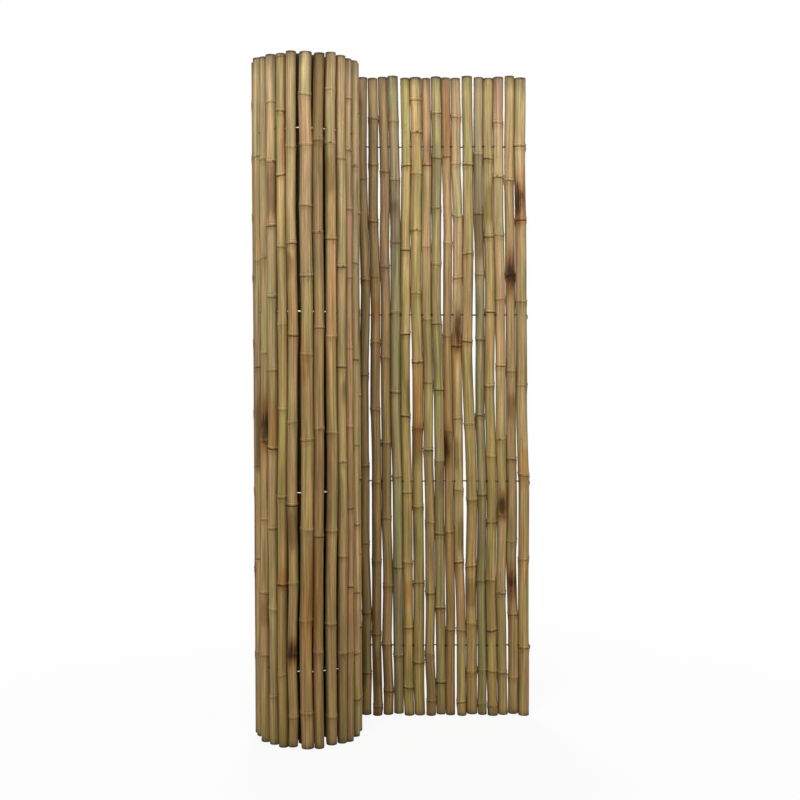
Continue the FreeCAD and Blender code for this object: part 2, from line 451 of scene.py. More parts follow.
# %% [markdown]
# ## What the surface remembers
#
# A material can't know where a knuckle or a stain is unless the mesh tells it. So every point of a
# cane carries a few values, called attributes: its place on a cane of standard thickness for the
# wood fibres, its colour, its height above the nearest knuckle's lip, how dark that lip is, and how
# much of a bud, a drill hole, a sawn end and each kind of stain it has. Painting an image would do
# the same, but the values stay exact at any size and need no picture file.

# %% Values at knuckles and buds
FAR_AWAY = 60.0                          # height above a lip, in mm, of a point with no knuckle near
LINE_REACH = 30                          # distance from a lip, in mm, within which its darkness counts
BUD_RISE, BUD_WIDTH, BUD_HEIGHT, BUD_SWELL = 4.6, 2.9, 3.2, 0.9      # in mm
TROUGH_WIDTH, TROUGH_DEPTH = 4.5, 0.45
TROUGH_START, TROUGH_RAMP, TROUGH_FADE = 6, 8, 70                    # in mm above the lip


def ring_angles(segments):
    return np.arange(segments) * 2 * math.pi / segments


def turn_from(side, angles):
    """Angles as seen from one side of a cane, between minus and plus half a turn."""
    return np.angle(np.exp(1j * (angles - side)))


def knuckle_values(heights, angles, knuckles, darkness, buds, radius):
    """Swell in mm, height in mm above the nearest lip, how dark that lip is, and the bud."""
    shape = (len(heights), len(angles))
    swell, bud, line = np.zeros(shape), np.zeros(shape), np.zeros(shape)
    above = np.full(shape, FAR_AWAY)
    for knuckle, dark, (bud_angle, bud_size, tilt) in zip(knuckles, darkness, buds):
        turn = turn_from(bud_angle, angles)
        lip = knuckle - tilt * MM * (np.cos(turn) + 0.35 * np.sin(2 * turn + 9 * tilt))
        rise = (heights[:, None] - lip[None, :]) / MM
        arc = radius[:, None] / MM * turn[None, :]
        near_bud = bell(arc, BUD_WIDTH) * bell(rise - BUD_RISE, BUD_HEIGHT) * bud_size
        ramp = np.clip((rise - TROUGH_START) / TROUGH_RAMP, 0, 1)
        trough = bell(arc, TROUGH_WIDTH) * ramp * np.exp(-np.clip(rise, 0, None) / TROUGH_FADE)
        swell += knuckle_swell(rise) * (0.75 + 0.5 * dark)
        swell += BUD_SWELL * near_bud - TROUGH_DEPTH * trough * bud_size
        bud = np.maximum(bud, near_bud)
        above = np.where(np.abs(rise) < np.abs(above), rise, above)
        line = np.maximum(line, dark * (np.abs(rise) < LINE_REACH))
    return swell, above, line, bud


def bud_places(count, dice):
    """Angle, size and tilt of the bud at each knuckle, on alternate sides of the cane."""
    first = dice.uniform(0, 2 * math.pi)
    return [(first + math.pi * (i % 2) + dice.normal(0, 0.15), dice.uniform(0.2, 1.1) ** 1.5,
             dice.uniform(0.3, 2.2)) for i in range(count)]


print("a bud of size 1 stands out by %.1f mm" % BUD_SWELL)

# %% Values at stains and drilled holes
STAIN_TURN = 1.5             # how far a stain reaches round the cane, in radians
HOLE_REACH = 3.0             # in mm


def stain_values(heights, angles, axis, stains):
    """How much of each kind of stain the points of a cane have, from 0 to 1."""
    amounts = {kind: np.zeros((len(heights), len(angles))) for kind in STAIN_CHANCES}
    for kind, start, end, side in stains:
        high, low = heights_at(axis, (start, end))
        middle, half = (high + low) / 2, (high - low) / 2
        turn = turn_from(math.radians(-90 + side), angles)
        spot = bell((heights - middle) / half, 1.0)[:, None] ** 0.8 * bell(turn, STAIN_TURN)[None, :]
        amounts[kind] = np.maximum(amounts[kind], spot)
    return amounts


def hole_values(heights, angles, along, radius, spread):
    """How near each point is to a drilled hole, from 0 to 1, and how dark it is beside the hole, for dirt and
    painted shade.
    """
    near = np.zeros((len(heights), len(angles)))
    darkening = near.copy()
    heading = math.atan2(along[1], along[0])
    for side in (heading, heading + math.pi):
        arc = radius[:, None] * turn_from(side, angles)[None, :] / MM
        for height in wire_heights:
            rise = (heights - height)[:, None] / MM
            near = np.maximum(near, bell(np.hypot(arc, rise), HOLE_REACH))
            darkening = np.maximum(darkening, bell(np.hypot(arc / spread, rise), HOLE_REACH))
    return near, darkening


print("kinds of stain:", list(STAIN_CHANCES), "drilled holes in a cane:", 2 * len(wire_heights))

# %% Skin of one cane
USUAL_RADIUS = 12.5 * MM                 # of a cane whose knuckles have the sizes above
HOLE_DIP = 1.5                           # how far the skin dips at a drilled hole, in mm
# how far the dark at a hole runs round the cane: dirt, and painted shade of the hole and wire
FLAT_SPREAD, ROLL_SPREAD = 3.2, 1.0      # how far the dirt at a hole runs round the cane
OVAL_SHARE = 0.012
JOG_SHARE, JOG_REACH = 0.012, 0.35 * MM  # change of a cane's thickness and place at a knuckle
DEPTH_REACH = 0.4 * MM                   # steps of a cane across the mat
END_FADE = 7 * MM                        # how far the dirt of a sawn end reaches


def cane_skin(number, axis, along, look, dice, segments, spacing):
    """Points, middles and values of the outside of one cane, ring by ring from its foot to its top."""
    angles = ring_angles(segments)
    knuckles = heights_at(axis, look["places"])
    heights, middle, radius = cane_rings(axis, knuckles, spacing)
    buds = bud_places(len(knuckles), dice)
    swell, above, line, bud = knuckle_values(heights, angles, knuckles, look["darkness"], buds, radius)
    spread = FLAT_SPREAD if number < len(PANEL_CANES) else ROLL_SPREAD
    hole, hole_darkening = hole_values(heights, angles, along, radius, spread)
    oval = 1 + OVAL_SHARE * np.cos(2 * angles + dice.uniform(0, 6))
    reach_out = radius[:, None] * SKIN_SHARE * oval
    reach_out += (swell * radius[:, None] / USUAL_RADIUS - HOLE_DIP * hole ** 3) * MM
    reach_out *= (1 + jogs(heights, knuckles, dice, JOG_SHARE))[:, None]
    aside = np.interp(heights, LEVELS, WANDER[number]) + jogs(heights, knuckles, dice, JOG_REACH)
    depth = own_steps(heights, knuckles, dice, DEPTH_REACH)
    across = np.array([-along[1], along[0]])
    middle = middle + aside[:, None] * along + depth[:, None] * across
    points = np.empty((len(heights), segments, 3))
    points[..., 0] = middle[:, :1] + reach_out * np.cos(angles)
    points[..., 1] = middle[:, 1:] + reach_out * np.sin(angles)
    points[..., 2] = heights[:, None]
    end = np.exp(-np.minimum(heights - axis[0, 0], axis[-1, 0] - heights) / END_FADE)
    values = {"above": above, "line": line, "bud": bud, "hole": hole_darkening, "end": end[:, None]}
    values.update(stain_values(heights, angles, axis, look["stains"]))
    return points, middle, values


print("rings at each knuckle:", len(KNUCKLE_STEPS), "and at each hole:", len(HOLE_STEPS))

# %% [markdown]
# ## The sawn ends
#
# Each end is sawn square, with a softened edge. The wall of the cane shows as a pale ring of fibre
# bundles round the hollow, and the hollow ends at the next knuckle, where the cane is closed by a
# thin wall. The rings simply carry on: inwards over the end, down into the hollow, and a last face
# closes it.

# %% Ends of one cane
SHAPE_SEED = 900
HOLLOW_DEPTH = 45 * MM       # of a hollow that no knuckle closes before
LEAST_HOLLOW = 6 * MM        # a knuckle closer to the end than this leaves the hollow open
KNUCKLE_WALL = 2 * MM


def end_profile(hollow, depth):
    """Share of the outer radius and depth of each ring over a sawn end and down its hollow."""
    return ((0.95, 0), (0.7, 0), (hollow + 0.03, 0), (hollow, 0.8 * MM),
            (hollow, depth * 0.5), (hollow * 0.96, depth))


def end_rings(middle, edge, end, inwards, knuckles, dice):
    """Rings over one sawn end and down its hollow, from the skin inwards."""
    ahead = (knuckles - end) * inwards
    depth = min([HOLLOW_DEPTH, *(ahead[ahead > LEAST_HOLLOW] - KNUCKLE_WALL)])
    outward = edge - np.append(middle, 0)[None, :]
    outward[:, 2] = 0
    rings = []
    for share, below in end_profile(dice.uniform(0.36, 0.5), depth):
        ring = outward * share
        ring[:, :2] += middle
        ring[:, 2] = end + inwards * below
        rings.append(ring)
    return np.array(rings)


def whole_cane(number, axis, along, look, segments, spacing):
    """All rings of a cane in order, which of them are its skin, the skin's values and the dice used."""
    dice = np.random.default_rng(SHAPE_SEED + number)
    points, middle, values = cane_skin(number, axis, along, look, dice, segments, spacing)
    knuckles = heights_at(axis, look["places"])
    lower = end_rings(middle[0], points[0], axis[0, 0], 1, knuckles, dice)[::-1]
    upper = end_rings(middle[-1], points[-1], axis[-1, 0], -1, knuckles, dice)
    rings = np.clip(np.concatenate([lower, points, upper]), cad_box[0], cad_box[1])
    return rings, slice(len(lower), len(lower) + len(points)), values, dice


print("rings over each sawn end:", len(end_profile(0.4, HOLLOW_DEPTH)))

# %% [markdown]
# ## From rings to a mesh
#
# Neighbouring points of neighbouring rings make the four-sided faces. The faces of the two ends get
# the second material of the piece. Several canes that share one CAD node are joined into one mesh.
#
# The colour of a cane is stored with its points. It differs a little from one stretch between
# knuckles to the next, and is darker and browner towards the foot than at the top. It is also darker
# on the sides that face the next canes: painted shade, for the shade between neighbouring canes.


# %% Faces of one cane
def cane_faces(ring_count, segments, first):
    """Faces between the rings of one cane, and the two that close its hollows."""
    ring, step = np.meshgrid(np.arange(ring_count - 1), np.arange(segments), indexing="ij")
    corner = first + ring * segments + step
    beside = first + ring * segments + (step + 1) % segments
    sides = np.stack([corner, beside, beside + segments, corner + segments], axis=-1).reshape(-1, 4)
    last = first + (ring_count - 1) * segments
    floor = list(range(first + segments - 1, first - 1, -1))
    ceiling = list(range(last, last + segments))
    return sides.tolist() + [floor, ceiling]


print("faces of a cane with 100 rings of 28 points:", len(cane_faces(100, 28, 0)))

# %% Colour and fibres of one cane
FIBRE_SCALE = 100                    # fibre places are in centimetres
FIBRE_RADIUS = 1.25                  # of a cane of standard thickness, in centimetres
STRETCHES = 30                       # more than any cane has between knuckles
# painted shade: canes inside the roll are darkened for the shadow between the turns
BURIED_PAINTED_SHADE = 0.12                  # of a cane in the dark inside of the roll
# painted shade: colour taken off where a cane faces the next one, for the shade between canes
SIDE_PAINTED_SHADE = (0.34, 0.38, 0.42)       # share of red, green and blue lost where a cane faces the next one
# the colour is darker and browner towards the foot than at the top
FOOT_TO_TOP_HEIGHTS = (0, 1.0, 1.83)
FOOT_TO_TOP_SHADES = np.array([[0.77, 0.71, 0.54], [0.90, 0.86, 0.765], [1.09, 1.09, 1.15]])


def fibre_places(rings, skin, dice):
    """Place of every point among the fibres, which differ from cane to cane."""
    count, segments = rings.shape[:2]
    angles = ring_angles(segments)
    spread = np.stack([np.cos(angles), np.sin(angles)], axis=1) * FIBRE_RADIUS
    place = np.empty((count, segments, 3))
    place[..., :2] = spread[None] + dice.uniform(-40, 40, 2)
    place[..., 2] = rings[..., 2] * FIBRE_SCALE + dice.uniform(0, 400)
    for ring in [*range(skin.start), *range(skin.stop, count)]:
        away = rings[ring] - rings[ring].mean(axis=0)
        place[ring, :, :2] += away[:, :2] * FIBRE_SCALE - spread
    return place


def cane_colours(rings, skin, axis, along, look, buried, dice):
    """Colour of every point of a cane, before the material adds fibres and stains."""
    count, segments = rings.shape[:2]
    heights = rings[skin, 0, 2]
    shades = dice.normal(1, 0.06, (STRETCHES, 1)) * dice.normal(1, 0.025, (STRETCHES, 3))
    stretch = np.searchsorted(np.sort(heights_at(axis, look["places"])), heights)
    neighbour_side = np.abs(np.cos(ring_angles(segments) - math.atan2(along[1], along[0]))) ** 4
    colour = np.ones((count, segments, 4))
    # painted shade: the colour of canes inside the roll is darkened for the shadow there
    colour[..., :3] = look["colour"] * (BURIED_PAINTED_SHADE if buried else 1.0)
    colour[skin, :, :3] *= shades[stretch][:, None, :]
    # painted shade: darker on the sides that face the next canes, for the shade between them
    colour[skin, :, :3] *= 1 - neighbour_side[None, :, None] * np.array(SIDE_PAINTED_SHADE)
    # darker and browner towards the foot, by height
    for channel in range(3):
        weather = np.interp(heights, FOOT_TO_TOP_HEIGHTS, FOOT_TO_TOP_SHADES[:, channel])
        colour[skin, :, channel] *= weather[:, None]
    return colour


def with_ends(rings, skin, values):
    """The skin's values with those of the sawn ends added, which are plain and far from a knuckle."""
    carried = {}
    for name, amounts in values.items():
        carried[name] = np.full(rings.shape[:2], FAR_AWAY if name == "above" else 0.0)
        carried[name][skin] = amounts
    return carried


print("shade at the foot and at the top:", FOOT_TO_TOP_SHADES[0].tolist(), FOOT_TO_TOP_SHADES[-1].tolist())

# %% Make a bamboo piece
ATTRIBUTE_KINDS = {1: ("FLOAT", "value"), 3: ("FLOAT_VECTOR", "vector"), 4: ("FLOAT_COLOR", "color")}


def carry(mesh, name, arrays):
    """Stores one kind of value with the points of a mesh: a number, a vector or a colour."""
    width = arrays[0].shape[2] if arrays[0].ndim == 3 else 1
    data = np.concatenate([array.reshape(-1) for array in arrays]).astype(np.float32)
    kind, key = ATTRIBUTE_KINDS[width]
    mesh.attributes.new(name, kind, "POINT").data.foreach_set(key, data)


def bamboo_piece(node, members, segments, spacing):
    """One mesh object for all canes of a CAD node."""
    points, faces, ends, carried = [], [], [], []
    first = 0
    for number, axis, along in members:
        look = describe(node, number)
        rings, skin, values, dice = whole_cane(number, axis, along, look, segments, spacing)
        carried.append(with_ends(rings, skin, values))
        carried[-1]["place"] = fibre_places(rings, skin, dice)
        carried[-1]["colour"] = cane_colours(rings, skin, axis, along, look, node in INNER_NODES, dice)
        made = cane_faces(len(rings), segments, first)
        row = np.arange(len(made) - 2) // segments
        ends += list(((row < skin.start) | (row >= skin.stop - 1)).astype(int)) + [1, 1]
        faces += made
        points.append(rings.reshape(-1, 3))
        first += rings.shape[0] * segments
    mesh = bpy.data.meshes.new(node + "_bamboo")
    mesh.from_pydata(np.concatenate(points).tolist(), [], faces)
    mesh.polygons.foreach_set("material_index", ends)
    mesh.polygons.foreach_set("use_smooth", [True] * len(faces))
    for name in carried[0]:
        carry(mesh, name, [cane[name] for cane in carried])
    mesh.update()
    piece = bpy.data.objects.new(node + "_bamboo", mesh)
    bpy.context.scene.collection.objects.link(piece)
    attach(piece, "root")
    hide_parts(node)
    return piece


print("values can be:", [kind for kind, key in ATTRIBUTE_KINDS.values()])

# %% Make all the canes
FINE_SEGMENTS, COARSE_SEGMENTS = 28, 16      # points round a cane in view, and round a hidden one


def wire_run(number):
    """Direction in plan in which the wires pass through a cane."""
    before, after = canes[max(number - 1, 0)][1], canes[min(number + 1, len(canes) - 1)][1]
    run = after[:, 1:3].mean(axis=0) - before[:, 1:3].mean(axis=0)
    return run / np.linalg.norm(run)


members = {}
for number, (node, axis) in enumerate(canes):
    members.setdefault(node, []).append((number, axis, wire_run(number)))
bamboo_pieces = []
for node, group in members.items():
    hidden = node in INNER_NODES
    segments, spacing = (COARSE_SEGMENTS, COARSE_SPACING) if hidden else (FINE_SEGMENTS, FINE_SPACING)
    bamboo_pieces.append(bamboo_piece(node, group, segments, spacing))
print("bamboo pieces:", len(bamboo_pieces), "faces:", sum(len(p.data.polygons) for p in bamboo_pieces))

# %% [markdown]
# ## The wires
#
# Each wire is one length of galvanised wire, pushed through every cane in turn. Its end at the free
# edge is bent down into a little hook so that the last cane can't slip off. A curve with a round
# bevel is the natural way to make wire: it is given the points that it passes through and stays
# smooth between them. The bevel is 1 and the points carry the wire's real radius, because Blender
# adds a point's radius to the box of a curve. Between two canes the wire isn't quite straight, and it
# is thicker there, because the makers twist it so that the canes stay apart.

# %% Route of a wire
WIRE_RADIUS = 1.2 * MM
TWIST_SAG = 0.7                              # how far a twist may lie above or below the line, in mm
TWIST_SHARE = (1.5, 2.0)                     # thickness of a twist over that of the wire
FREE_REACH, CORE_REACH = 2.8 * MM, 5 * MM    # how far the ends stand out of the first and last cane
HOOK = ((-4.0, 0.0), (-1.2, -0.6), (0.0, -3.2), (-0.2, -8.0), (-1.6, -12.6))     # out and up, in mm


def middle_at(number, height):
    axis = canes[number][1]
    return np.array([*(np.interp(height, axis[:, 0], axis[:, column]) for column in (1, 2)), height])


def hooked_end(start, run, reach):
    """Points of a wire's end, which reaches out of the last cane and is bent down beside it."""
    return [(*(start + np.append(run * (reach + out * MM), up * MM)), WIRE_RADIUS) for out, up in HOOK]


def wire_points(node, height, dice):
    """Points and radii along one wire, from its tip at the free edge to its tip in the core."""
    through = [middle_at(number, height) for number in range(len(canes))]
    line = [(*through[0], WIRE_RADIUS)]
    for number in range(1, len(through)):
        if number < len(PANEL_CANES) + len(ROLL_CANES):
            between = (through[number - 1] + through[number]) / 2
            between[2] += dice.uniform(-TWIST_SAG, TWIST_SAG) * MM
            line.append((*between, dice.uniform(*TWIST_SHARE) * WIRE_RADIUS))
        line.append((*through[number], WIRE_RADIUS))
    surface = canes[0][1][0, 3] - np.interp(height, LEVELS, WANDER[0])
    reach = min(surface + FREE_REACH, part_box(node)[1][0] - WIRE_RADIUS - through[0][0])
    free = hooked_end(through[0], -wire_run(0), reach)
    core = hooked_end(through[-1], wire_run(len(canes) - 1), canes[-1][1][0, 3] + CORE_REACH)
    return free[::-1] + line + core


print("a hook hangs down by %.1f mm" % -HOOK[-1][1])

# %% Make the wires
WIRE_SEED = 70


def wire_piece(node, height, number):
    line = wire_points(node, height, np.random.default_rng(WIRE_SEED + number))
    curve = bpy.data.curves.new(node + "_drawn", "CURVE")
    curve.dimensions = "3D"
    curve.bevel_depth = 1.0
    curve.bevel_resolution = 3
    curve.resolution_u = 4
    curve.use_fill_caps = True
    spline = curve.splines.new("BEZIER")
    spline.bezier_points.add(len(line) - 1)
    for knot, point in zip(spline.bezier_points, line):
        knot.co = point[:3]
        knot.radius = point[3]
        knot.handle_left_type = knot.handle_right_type = "AUTO"
    piece = bpy.data.objects.new(node + "_drawn", curve)
    bpy.context.scene.collection.objects.link(piece)
    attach(piece, "root")
    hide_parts(node)
    return piece


wire_pieces = [wire_piece(node, height, i) for i, (node, height) in enumerate(zip(WIRES, wire_heights))]
print("wires:", len(wire_pieces))

# %% [markdown]
# ## Tools for the materials
#
# The materials are built from nodes in code. A few helpers keep that readable: one feeds a socket
# with a link or a plain value, and the others add a node and hand back its output.


# %% Node helpers
def feed(tree, socket, value):
    if isinstance(value, bpy.types.NodeSocket):
        tree.links.new(value, socket)
    else:
        socket.default_value = value


def math_step(tree, operation, *values):
    node = tree.nodes.new("ShaderNodeMath")
    node.operation = operation
    for socket, value in zip(node.inputs, values):
        feed(tree, socket, value)
    return node.outputs[0]


def mix(tree, amount, first, second, blend="MIX"):
    """Two colours mixed by an amount; a colour may be a link or three numbers."""
    node = tree.nodes.new("ShaderNodeMix")
    node.data_type = "RGBA"
    node.blend_type = blend
    for socket, value in zip((node.inputs[0], node.inputs[6], node.inputs[7]), (amount, first, second)):
        feed(tree, socket, (*value, 1.0) if isinstance(value, tuple) else value)
    return node.outputs[2]


def attribute(tree, name, output="Fac"):
    """A value that the points of the mesh carry: as a number, or by another output of the node."""
    node = tree.nodes.new("ShaderNodeAttribute")
    node.attribute_name = name
    return node.outputs[output]


def new_material(name):
    """A new material, its node tree and its shader."""
    material = bpy.data.materials.new(name)
    material.use_nodes = True
    return material, material.node_tree, material.node_tree.nodes["Principled BSDF"]


def add_grain(tree, shader, height, strength, depth):
    """Fine relief on a surface, from a height in shares of a depth."""
    bump = tree.nodes.new("ShaderNodeBump")
    bump.inputs["Strength"].default_value = strength
    bump.inputs["Distance"].default_value = depth
    feed(tree, bump.inputs["Height"], height)
    feed(tree, shader.inputs["Normal"], bump.outputs[0])


print("node helpers ready")

# %% [markdown]
# ## Two effects that the finishes share
#
# The first is fibre: bamboo is a bundle of long straight fibres, so all its colour and grain runs
# lengthwise. A noise that is squeezed across and stretched along gives that, and the same group
# with other numbers gives broad weathered patches, fine lines, the dots of a sawn end and the
# blotches of zinc on wire. The second is a soft-edged band: one value inside two limits and another
# outside, for rings at a knuckle and for the edges of stains.

# %% Fibre and band groups
NO_LIMIT = 99.0              # upper limit of a band that has none


def new_group(name, vectors, numbers):
    """A node group with named inputs and one number as output; returns its tree, inputs and output."""
    tree = bpy.data.node_groups.new(name, "ShaderNodeTree")
    for kind, labels in (("NodeSocketVector", vectors), ("NodeSocketFloat", numbers)):
        for label in labels:
            tree.interface.new_socket(label, in_out="INPUT", socket_type=kind)
    tree.interface.new_socket(name, in_out="OUTPUT", socket_type="NodeSocketFloat")
    entry = tree.nodes.new("NodeGroupInput")
    leave = tree.nodes.new("NodeGroupOutput")
    return tree, entry.outputs, leave.inputs[0]


def make_fibre_group():
    tree, entry, leave = new_group("Fibre", ["Place"], ["Across", "Along", "Contrast"])
    squeeze = tree.nodes.new("ShaderNodeCombineXYZ")
    for socket, source in zip(squeeze.inputs, ("Across", "Across", "Along")):
        tree.links.new(entry[source], socket)
    scaled = tree.nodes.new("ShaderNodeVectorMath")
    scaled.operation = "MULTIPLY"
    tree.links.new(entry["Place"], scaled.inputs[0])
    tree.links.new(squeeze.outputs[0], scaled.inputs[1])
    noise = tree.nodes.new("ShaderNodeTexNoise")
    noise.inputs["Scale"].default_value = 1.0
    noise.inputs["Detail"].default_value = 3.0
    noise.inputs["Roughness"].default_value = 0.6
    tree.links.new(scaled.outputs[0], noise.inputs["Vector"])
    centred = math_step(tree, "SUBTRACT", noise.outputs[0], 0.5)
    spread = math_step(tree, "MULTIPLY_ADD", centred, entry["Contrast"], 0.5)
    limited = tree.nodes.new("ShaderNodeClamp")
    tree.links.new(spread, limited.inputs[0])
    tree.links.new(limited.outputs[0], leave)
    return tree


def make_band_group():
    tree, entry, leave = new_group("Band", [], ["Value", "From", "To", "Softness"])
    edges = []
    for limit, first, second in (("From", 0.0, 1.0), ("To", 1.0, 0.0)):
        ramp = tree.nodes.new("ShaderNodeMapRange")
        ramp.interpolation_type = "SMOOTHSTEP"
        tree.links.new(entry["Value"], ramp.inputs["Value"])
        tree.links.new(math_step(tree, "SUBTRACT", entry[limit], entry["Softness"]), ramp.inputs["From Min"])
        tree.links.new(math_step(tree, "ADD", entry[limit], entry["Softness"]), ramp.inputs["From Max"])
        ramp.inputs["To Min"].default_value = first
        ramp.inputs["To Max"].default_value = second
        edges.append(ramp.outputs[0])
    tree.links.new(math_step(tree, "MULTIPLY", *edges), leave)
    return tree


FIBRE = make_fibre_group()
BAND = make_band_group()
print("node groups:", [group.name for group in (FIBRE, BAND)])


# %% Use of the groups
def place_group(tree, group, **values):
    node = tree.nodes.new("ShaderNodeGroup")
    node.node_tree = group
    for label, value in values.items():
        feed(tree, node.inputs[label], value)
    return node.outputs[0]


def fibre(tree, place, across, along, contrast):
    return place_group(tree, FIBRE, Place=place, Across=across, Along=along, Contrast=contrast)


def band(tree, value, start, end, softness):
    return place_group(tree, BAND, Value=value, From=start, To=end, Softness=softness)


print("sockets:", [item.name for group in (FIBRE, BAND) for item in group.interface.items_tree])

# %% [markdown]
# ## Bamboo skin
#
# Dried bamboo is tan to olive, with a dull shine. From far away the colour of each cane and of each
# stretch between knuckles differs. Closer up there are weathered patches, long streaks and fine
# fibre lines, and here and there a dusting of black specks. Each of these is one mix over the colour
# so far, from broad to fine, so any of them can be tuned alone.

# %% Weathered skin
WEATHER_LAYERS = (           # across, along and contrast of the fibres, darkest and palest shade
    (0.45, 0.06, 2.6, (0.77, 0.82, 0.78), (1.17, 1.13, 1.11)),       # broad patches
    (0.7, 0.035, 4.0, (0.95, 1.02, 0.95), (1.04, 0.98, 1.02)),       # greener and redder stretches
    (2.6, 0.05, 2.8, (0.57, 0.56, 0.53), (1.30, 1.30, 1.29)),        # long streaks
    (1.9, 0.07, 3.6, (0.93, 1.02, 0.88), (1.07, 0.95, 0.99)),        # flushes of colour
    (16.0, 0.14, 3.4, (0.80, 0.78, 0.75), (1.08, 1.08, 1.08)),       # fine lines
)
SPECK = (0.10, 0.07, 0.04)


def weathered_colour(tree, place):
    """The cane's own colour with all weather layers and specks; also returns the fine lines."""
    colour = attribute(tree, "colour", "Color")
    for across, along, contrast, dark, pale in WEATHER_LAYERS:
        lines = fibre(tree, place, across, along, contrast)
        colour = mix(tree, 1.0, colour, mix(tree, lines, dark, pale), "MULTIPLY")
    specks = band(tree, fibre(tree, place, 7.0, 2.6, 3.2), 0.90, NO_LIMIT, 0.06)
    dusty = math_step(tree, "MULTIPLY", fibre(tree, place, 0.3, 0.08, 4.0), 0.7)
    return mix(tree, math_step(tree, "MULTIPLY", specks, dusty), colour, SPECK), lines


print("weather layers:", len(WEATHER_LAYERS))

# %% [markdown]
# ## Knuckles and buds
#
# At a knuckle a dark line marks the lip, with a paler waxy ring above it, a thin second line over
# that and a browner zone below. The paler ring is partly a painted highlight, for the light on the
# ridge of the knuckle. A bud has a dark ring and a paler tip. Flat bands of colour would look painted
# on, so the height above the lip is made a little ragged first.

# %% Colour of knuckles and buds
KNUCKLE_ZONES = (            # from, to and softness in mm above the lip, and shade
    (-12, 1, 9, (0.62, 0.51, 0.41)),         # browner zone
    # waxy ring, partly a painted highlight on the ridge of the knuckle
    (3.0, 9.0, 1.4, (1.24, 1.23, 1.22)),     # waxy ring
)
LIP_LINE, SECOND_LINE = (0.026, 0.016, 0.008), (0.10, 0.065, 0.035)
BUD_RING, BUD_TIP = (0.09, 0.055, 0.03), (0.36, 0.27, 0.15)


def knuckle_colour(tree, colour, place):
    """The colour with the zones and lines of the knuckles; also returns the lip."""
    line = attribute(tree, "line")
    uneven = fibre(tree, place, 1.2, 0.8, 2.4)
    strength = math_step(tree, "MULTIPLY", uneven, line)
    ragged = math_step(tree, "MULTIPLY_ADD", fibre(tree, place, 5.0, 1.0, 2.6), 1.6, -0.8)
    above = math_step(tree, "ADD", attribute(tree, "above"), ragged)
    for start, end, softness, shade in KNUCKLE_ZONES:
        zone = math_step(tree, "MULTIPLY", band(tree, above, start, end, softness), strength)
        colour = mix(tree, zone, colour, shade, "MULTIPLY")
    second = math_step(tree, "MULTIPLY", band(tree, above, 9.6, 11.4, 0.8), strength)
    colour = mix(tree, second, colour, SECOND_LINE)
    lower, upper = (math_step(tree, "MULTIPLY", line, reach) for reach in (-1.2, 2.0))
    lip = math_step(tree, "MULTIPLY", band(tree, above, lower, upper, 0.7), line)
    lip = math_step(tree, "MULTIPLY", lip, math_step(tree, "MULTIPLY_ADD", uneven, 0.5, 0.7))
    return mix(tree, math_step(tree, "MINIMUM", lip, 1.0), colour, LIP_LINE), lip


def bud_colour(tree, colour):
    bud = attribute(tree, "bud")
    ring = math_step(tree, "MULTIPLY", band(tree, bud, 0.25, 0.62, 0.12), 0.85)
    colour = mix(tree, ring, colour, BUD_RING)
    return mix(tree, band(tree, bud, 0.75, NO_LIMIT, 0.12), colour, BUD_TIP)


print("zones at a knuckle:", len(KNUCKLE_ZONES), "and two lines")

# %% [markdown]
# ## Stains
#
# Canes are straightened over a flame, which leaves scorch marks. Damp leaves smudges, and some
# stretches turn rusty or pink. Dirt gathers at the sawn ends. At the holes there is dirt too, with
# painted shade for the shadow in the hole and round the wire. A stain soaks along the fibres, so its
# edge isn't smooth: the amount that the mesh carries is multiplied by fibre noise before a band cuts
# it off.

# %% Stains and the finished skin
STAIN_LAYERS = (             # kind, amount from which it shows, strength and shade
    ("pink", 0.4, 0.60, (1.06, 0.84, 0.80)),
    ("smudge", 0.4, 0.85, (0.54, 0.47, 0.38)),
    ("rust", 0.4, 0.80, (0.90, 0.67, 0.47)),
    ("scorch", 0.32, 0.85, (0.62, 0.42, 0.26)),
    ("scorch", 0.74, 0.95, (0.10, 0.055, 0.028)),
)
# dark at the sawn ends; at the holes, dirt together with painted shade of the hole and the wire
END_DIRT, HOLE_DIRT_AND_SHADE = (0.030, 0.020, 0.011), (0.030, 0.020, 0.013)


def stained_colour(tree, colour, place):
    """The colour with all stains, the dirt at sawn ends, and the dirt and painted shade at holes."""
    ragged = fibre(tree, place, 1.1, 0.22, 2.2)
    streaky = math_step(tree, "ADD", ragged, fibre(tree, place, 4.5, 0.11, 3.0))
    soaked = math_step(tree, "MULTIPLY_ADD", streaky, 0.55, 0.50)
    for kind, limit, strength, shade in STAIN_LAYERS:
        amount = math_step(tree, "MULTIPLY", attribute(tree, kind), soaked)
        stain = math_step(tree, "MULTIPLY", band(tree, amount, limit, NO_LIMIT, 0.30), strength)
        colour = mix(tree, stain, colour, shade, "MULTIPLY")
    uneven = math_step(tree, "MULTIPLY_ADD", ragged, 1.2, 0.6)
    dirt = math_step(tree, "MULTIPLY", attribute(tree, "end"), uneven)
    colour = mix(tree, math_step(tree, "MINIMUM", dirt, 0.92), colour, END_DIRT)
    # dirt and painted shade: dark round each drilled hole
    return mix(tree, band(tree, attribute(tree, "hole"), 0.3, NO_LIMIT, 0.25), colour, HOLE_DIRT_AND_SHADE)


